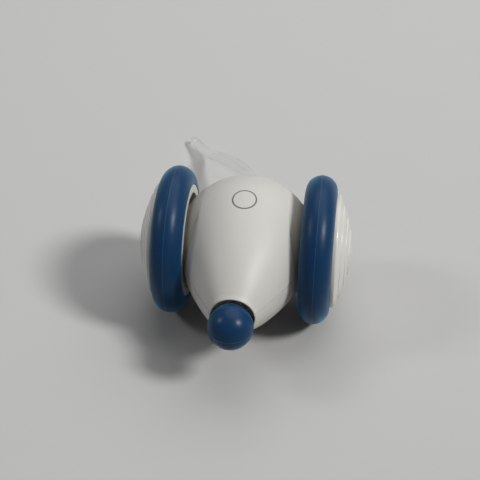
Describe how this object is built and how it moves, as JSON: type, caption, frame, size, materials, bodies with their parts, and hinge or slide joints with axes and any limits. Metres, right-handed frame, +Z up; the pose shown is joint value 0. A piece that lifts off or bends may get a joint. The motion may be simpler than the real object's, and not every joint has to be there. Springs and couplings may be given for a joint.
{
  "type": "robotic cat toy",
  "caption": "Self-driving mouse toy: white egg-shaped body between two domed wheels with blue tyres, a blue ball nose that works as a bumper and a clear trailing tail.",
  "frame": {"origin": "on the floor, under the middle of the whole toy's length and width", "axes": "+Z up, the nose points along -Y, the tail trails along +Y, +X is the toy's own left"},
  "size_m": [0.0868, 0.18, 0.0614],
  "materials": {
    "shell_white": "satin moulded white",
    "cover_white": "satin moulded off-white",
    "tyre_blue": "smooth satin rubber, dark blue",
    "nose_blue": "smooth satin rubber, dark blue",
    "button_blue": "satin",
    "tail_clear": "clear soft plastic",
    "frame_grey": "satin",
    "gear_white": "satin natural nylon",
    "steel": "bright",
    "brass": "turned",
    "board_green": "lacquered board",
    "switch_black": "satin",
    "cell_silver": "foil pouch"
  },
  "bodies": {
    "toy_body": {"left_side_cover": "cover_white", "left_cover_screw_1": "steel", "left_cover_screw_2": "steel", "left_axle_bush": "brass", "left_idler_pin": "steel", "left_motor": "steel", "right_side_cover": "cover_white", "right_cover_screw_1": "steel", "right_cover_screw_2": "steel", "right_axle_bush": "brass", "right_idler_pin": "steel", "right_motor": "steel", "upper_shell": "shell_white", "lower_shell": "shell_white", "chassis": "frame_grey", "main_board": "board_green", "board_screw_1": "steel", "board_screw_2": "steel", "shell_screw_1": "steel", "shell_screw_2": "steel", "shell_screw_3": "steel", "shell_screw_4": "steel", "chassis_screw_1": "steel", "chassis_screw_2": "steel", "battery": "cell_silver", "led_board": "board_green", "usb_port": "steel", "nose_spring": "steel", "nose_switch": "switch_black", "tail_collar": "shell_white", "tail": "tail_clear"},
    "left_wheel": {"left_tyre": "tyre_blue", "left_wheel_rim": "shell_white", "left_hub_cap": "shell_white", "left_wheel_screw": "steel", "left_axle": "steel", "left_output_gear": "gear_white"},
    "left_idler": {"left_idler_gear": "gear_white"},
    "left_rotor": {"left_motor_pinion": "brass"},
    "right_wheel": {"right_tyre": "tyre_blue", "right_wheel_rim": "shell_white", "right_hub_cap": "shell_white", "right_wheel_screw": "steel", "right_axle": "steel", "right_output_gear": "gear_white"},
    "right_idler": {"right_idler_gear": "gear_white"},
    "right_rotor": {"right_motor_pinion": "brass"},
    "nose": {"nose_ball": "nose_blue", "nose_plunger": "frame_grey"},
    "button": {"power_button": "button_blue"}
  },
  "joints": [
    {"name": "left_wheel_spin", "type": "hinge", "parent": "toy_body", "child": "left_wheel", "pos_m": [0.0296, -0.03023, 0.03068], "axis": [1, 0, 0], "continuous": true},
    {"name": "left_idler_spin", "type": "hinge", "parent": "toy_body", "child": "left_idler", "pos_m": [0.0108, -0.02808, 0.0431], "axis": [1, 0, 0], "continuous": true},
    {"name": "left_rotor_spin", "type": "hinge", "parent": "toy_body", "child": "left_rotor", "pos_m": [0.0108, -0.01802, 0.03773], "axis": [1, 0, 0], "continuous": true},
    {"name": "right_wheel_spin", "type": "hinge", "parent": "toy_body", "child": "right_wheel", "pos_m": [-0.0296, -0.03023, 0.03068], "axis": [1, 0, 0], "continuous": true},
    {"name": "right_idler_spin", "type": "hinge", "parent": "toy_body", "child": "right_idler", "pos_m": [-0.0108, -0.02808, 0.01827], "axis": [1, 0, 0], "continuous": true},
    {"name": "right_rotor_spin", "type": "hinge", "parent": "toy_body", "child": "right_rotor", "pos_m": [-0.0108, -0.01802, 0.02363], "axis": [1, 0, 0], "continuous": true},
    {"name": "nose_push", "type": "slide", "parent": "toy_body", "child": "nose", "axis": [0, 1, 0], "range_m": [0, 0.0012], "stiffness_N_per_m": 60, "springref_m": -0.002, "deforming": ["nose_spring"]},
    {"name": "button_push", "type": "slide", "parent": "toy_body", "child": "button", "axis": [0, 0, 1], "range_m": [0, 0.0008], "stiffness_N_per_m": 20, "springref_m": -0.003}
  ],
  "couplings": [
    {"joint": "left_idler_spin", "follows": "left_wheel_spin", "ratio": -2.5},
    {"joint": "left_rotor_spin", "follows": "left_wheel_spin", "ratio": 5.4167},
    {"joint": "right_idler_spin", "follows": "right_wheel_spin", "ratio": -2.5},
    {"joint": "right_rotor_spin", "follows": "right_wheel_spin", "ratio": 5.4167}
  ]
}
